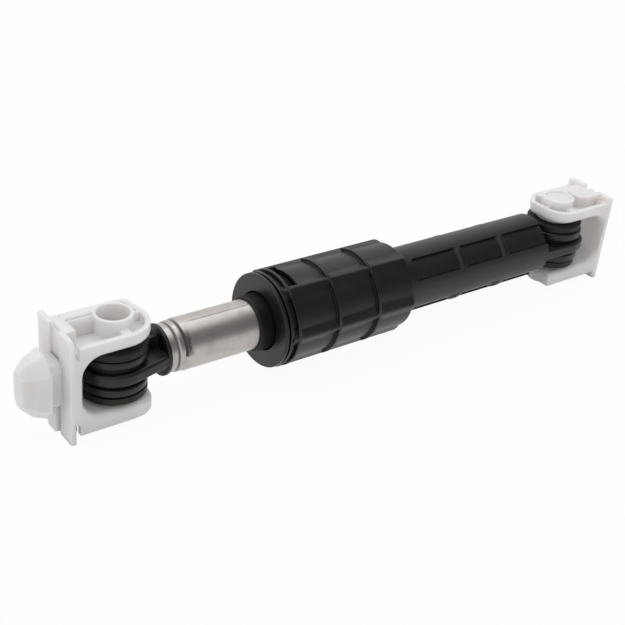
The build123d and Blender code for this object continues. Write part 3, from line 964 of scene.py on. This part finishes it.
@dataclass(frozen=True)
class Bush:
    """A rubber bush, turned about its pin: a body inside the eye and a grooved flange at each end."""

    node: str
    bore_radius: float = 7.6 * MM
    body_radius: float = 9.15 * MM
    neck_radius: float = 11.3 * MM
    flange_radius: float = 12.4 * MM
    eye_half_height: float = 7.1 * MM
    groove: float = 0.4 * MM
    softness: float = 0.07 * MM
    edge: float = 0.4 * MM
    segments: int = 128
    rows: int = 321

    def make(self, finish: bpy.types.Material) -> bpy.types.Object:
        """Makes the bush where its node stands.

        Args:
            finish: Its material.

        Returns:
            The finished piece.
        """
        low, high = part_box(self.node)
        height = high.z - low.z
        eye_start = height / 2 - self.eye_half_height
        flange_end = eye_start - self.groove
        to_neck, to_body = self.neck_radius - self.flange_radius, self.body_radius - self.neck_radius
        half = (
            Step(0.0, 2 * self.edge, self.edge),
            Step(flange_end - self.softness, to_neck, self.softness),
            Step(eye_start + self.softness, to_body, self.softness),
        )
        other_half = tuple(Step(height - step.place, -step.rise, step.width) for step in reversed(half))
        bush = Turned(
            f"{self.node}_rubber", height, self.flange_radius - 2 * self.edge, half + other_half,
            self.bore_radius, segments=self.segments, rows=self.rows)
        middle = (low + high) / 2
        return bush.make(Vector((middle.x, middle.y, low.z)), (0.0, -math.pi / 2, 0.0), finish)


@dataclass
class RodEnd:
    """The white clevis bracket, black eye and rubber bush at the plunger's outer end."""

    finishes: Finishes
    bracket_edge: Edge = Edge.SOFT
    eye_edge: Edge = Edge.SOFT

    def build(self) -> None:
        """Builds and dresses the pieces."""
        bracket = rounded_node("rod_bracket", "rod_bracket_moulding", self.bracket_edge)
        dress(bracket, self.finishes.white, "rod_clevis", "white_plastic", "rod_bracket")
        eye = rounded_node("rod_eye", "rod_eye_moulding", self.eye_edge)
        dress(eye, self.finishes.black, "plunger", "black_plastic", "rod_eye")
        bush = Bush("rod_bush").make(self.finishes.rubber)
        dress(bush, self.finishes.rubber, "plunger", "bush_rubber", "rod_bush")
        paint("rod_bush_sleeve", self.finishes.sleeve)


@dataclass
class Plunger:
    """The steel tube and what closes and guides its inner end."""

    finishes: Finishes
    wall: float = 1.25 * MM
    ring_drop: float = 0.65 * MM
    ridge_drop: float = 0.25 * MM
    groove_drop: float = 1.0 * MM
    groove_half: float = 0.36 * MM
    segments: int = 161
    rows: int = 301
    crowding: float = 3.0

    def build(self) -> None:
        """Builds and dresses the pieces."""
        dress(self.make_tube(), self.finishes.steel, "plunger", "steel", "plunger_tube")
        paint("plunger_end_plug", self.finishes.carrier)
        paint("guide_ring", self.finishes.ring)

    def make_tube(self) -> bpy.types.Object:
        """Turns the tube: a smaller end ring, then two rolled grooves that hold the rod eye's plug.

        Returns:
            The finished piece.
        """
        low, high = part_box("plunger_tube")
        radius = (high.z - low.z) / 2
        ring, ridge, groove = (radius - drop for drop in (self.ring_drop, self.ridge_drop, self.groove_drop))
        steps: list[Step] = []
        before = ring
        for place, after in zip(TUBE_GROOVE_PLACES, (ridge, radius)):
            steps.append(Step(place - self.groove_half, groove - before, self.groove_half))
            steps.append(Step(place + self.groove_half, after - groove, self.groove_half))
            before = after
        tube = Turned(
            "plunger_tube_steel", high.x - low.x, ring, tuple(steps), self.wall, inner_is_wall=True,
            segments=self.segments, rows=self.rows, crowding=self.crowding)
        start = Vector((low.x, 0.0, (low.z + high.z) / 2))
        return tube.make(start, (0.0, 0.0, 0.0), self.finishes.steel)


@dataclass
class FrictionUnit:
    """The floating carrier and its three foam linings."""

    finishes: Finishes
    front_edge: Edge = Edge.CRISP
    lining_count: int = 3

    def build(self) -> None:
        """Builds and dresses the pieces."""
        front = rounded_node("friction_carrier_front", "carrier_front_moulding", self.front_edge)
        dress(front, self.finishes.carrier, "friction_unit", "carrier_plastic", "friction_carrier_front")
        paint("friction_carrier_rear", self.finishes.carrier)
        for number in range(1, self.lining_count + 1):
            paint(f"friction_lining_{number}", self.finishes.lining)


@dataclass
class Housing:
    """The ribbed sleeve with its fluted tube and eye, the front cap and the buffers."""

    finishes: Finishes
    body_edge: Edge = Edge.MOULDED
    cap_edge: Edge = Edge.CRISP

    def build(self) -> None:
        """Builds and dresses the pieces."""
        body = rounded_node("housing", "housing_moulding", self.body_edge)
        dress(body, self.finishes.black, "housing", "black_plastic", "housing")
        cap = rounded_node("end_cap", "end_cap_moulding", self.cap_edge)
        dress(cap, self.finishes.cap, "housing", "cap_plastic", "end_cap")
        bush = Bush("housing_bush").make(self.finishes.rubber)
        dress(bush, self.finishes.rubber, "housing", "bush_rubber", "housing_bush")
        for node in ("front_buffer", "rear_buffer"):
            paint(node, self.finishes.buffer)
        paint("housing_bush_sleeve", self.finishes.sleeve)


@dataclass
class HousingEnd:
    """The white clevis bracket that slides into the machine."""

    finishes: Finishes
    bracket_edge: Edge = Edge.SOFT

    def build(self) -> None:
        """Builds and dresses the bracket."""
        bracket = rounded_node("housing_bracket", "housing_bracket_moulding", self.bracket_edge)
        dress(bracket, self.finishes.white, "housing_clevis", "white_plastic", "housing_bracket")


@dataclass(frozen=True)
class Lamp:
    """A square soft lamp that points at the damper: its place, its side and its power in watts."""

    role: Role
    place: Triple
    size: float
    power: float

    def hang(self) -> None:
        """Adds the lamp to the scene."""
        data = bpy.data.lights.new(f"{self.role.value}_lamp", "AREA")
        data.size = self.size
        data.energy = self.power
        lamp = bpy.data.objects.new(data.name, data)
        bpy.context.scene.collection.objects.link(lamp)
        lamp.location = self.place
        lamp.rotation_euler = (-Vector(self.place)).to_track_quat("-Z", "Y").to_euler()


@dataclass(frozen=True)
class PhotoCamera:
    """The camera, where the photograph was taken from.

    Its place and aim are in millimetres, and its focal length in the photograph's pixels.
    """

    place: Triple = (-275.3, -310.6, 245.4)
    aim: Triple = (0.0, 22.0, 1.2)
    roll_degrees: float = 5.87
    focal_pixels: float = 1156.0
    photo_side: int = 625
    sensor: float = 36.0
    nearest: float = 10.0 * MM

    def set_up(self) -> None:
        """Adds the camera and makes it the scene's own."""
        data = bpy.data.cameras.new("photo_camera")
        data.sensor_width = self.sensor
        data.lens = self.focal_pixels * self.sensor / self.photo_side
        data.clip_start = self.nearest
        camera = bpy.data.objects.new("photo_camera", data)
        bpy.context.scene.collection.objects.link(camera)
        place, aim = Vector(self.place) * MM, Vector(self.aim) * MM
        roll = Matrix.Rotation(math.radians(self.roll_degrees), 3, "Z")
        camera.location = place
        camera.rotation_euler = ((aim - place).to_track_quat("-Z", "Y").to_matrix() @ roll).to_euler()
        bpy.context.scene.camera = camera


@dataclass(frozen=True)
class Studio:
    """Pale floor, white backdrop, soft lamps and the camera.

    Glossy surfaces see a dimmer backdrop towards dim_side, between the two cosines of dim_range.
    """

    white: Colour = (1.0, 1.0, 1.0)
    floor_half: float = 2.0
    floor_colour: Colour = (0.9, 0.9, 0.9)
    seen_share: float = 0.95
    ambient: float = 0.62
    dim_side: Triple = (0.55, -0.52, 0.66)
    dim_level: float = 0.24
    dim_range: Span = (0.30, 0.95)
    lamps: tuple[Lamp, ...] = (
        Lamp(Role.OVERHEAD, (0.05, 0.15, 0.85), 0.9, 3.0),
        Lamp(Role.SIDE, (-0.75, 0.45, 0.35), 0.6, 0.7),
    )

    def build(self) -> None:
        """Builds the whole studio."""
        self.make_world()
        self.make_floor()
        for lamp in self.lamps:
            lamp.hang()
        PhotoCamera().set_up()

    def seen_rays(self, bench: Bench) -> Wire:
        """Returns 1 for rays that show the background: camera, mirror and glass rays."""
        path = bench.add("ShaderNodeLightPath", None, None, "Is Camera Ray")
        return (path + path.other("Is Glossy Ray") + path.other("Is Transmission Ray")).clamped()

    def make_world(self) -> None:
        """Makes a white backdrop, even light from all round, and a dimmer side for reflections."""
        world = bpy.data.worlds.new("studio")
        bpy.context.scene.world = world
        world.use_nodes = True
        world.node_tree.nodes.clear()
        bench = Bench(world.node_tree)
        direction = bench.add("ShaderNodeTexCoord", None, None, "Generated")
        side = Vector(self.dim_side).normalized()
        product = {"operation": "DOT_PRODUCT"}
        facing = bench.add("ShaderNodeVectorMath", product, {0: direction, 1: side}, "Value")
        glossy = bench.add("ShaderNodeLightPath", None, None, "Is Glossy Ray")
        dim = facing.step(*self.dim_range) * glossy
        white, level = opaque(self.white), opaque((self.dim_level,) * 3)
        backdrop = {"Color": bench.blend(white, level, dim), "Strength": 1.0}
        seen = bench.add("ShaderNodeBackground", None, backdrop)
        even = bench.add("ShaderNodeBackground", None, {"Color": white, "Strength": self.ambient})
        both = bench.add("ShaderNodeMixShader", None, {0: self.seen_rays(bench), 1: even, 2: seen})
        bench.add("ShaderNodeOutputWorld", None, {"Surface": both}, None)

    def make_floor(self) -> None:
        """Makes the floor, white to the camera but for the object's soft shadow."""
        half = self.floor_half
        corners = [(-half, -half, 0), (half, -half, 0), (half, half, 0), (-half, half, 0)]
        mesh = bpy.data.meshes.new("floor")
        mesh.from_pydata(corners, [], [(0, 1, 2, 3)])
        floor = bpy.data.objects.new("floor", mesh)
        bpy.context.scene.collection.objects.link(floor)
        material, bench, _ = new_material("floor_white")
        matt = bench.add("ShaderNodeBsdfDiffuse", None, {"Color": opaque(self.floor_colour)})
        glow = bench.add("ShaderNodeEmission", None, {"Color": opaque(self.white), "Strength": 1.0})
        share = self.seen_rays(bench) * self.seen_share
        both = bench.add("ShaderNodeMixShader", None, {0: share, 1: matt, 2: glow})
        bench.add("ShaderNodeOutputMaterial", None, {"Surface": both}, None)
        mesh.materials.append(material)


def main() -> None:
    """Builds the damper's looks, piece by piece, and its studio."""
    logging.basicConfig(level=logging.INFO, format="%(name)s: %(message)s")
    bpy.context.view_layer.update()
    bpy.context.scene.view_settings.view_transform = "Standard"
    finishes = Finishes()
    for part in (RodEnd, Plunger, FrictionUnit, Housing, HousingEnd):
        part(finishes).build()
    Studio().build()


if __name__ == "__main__":
    main()
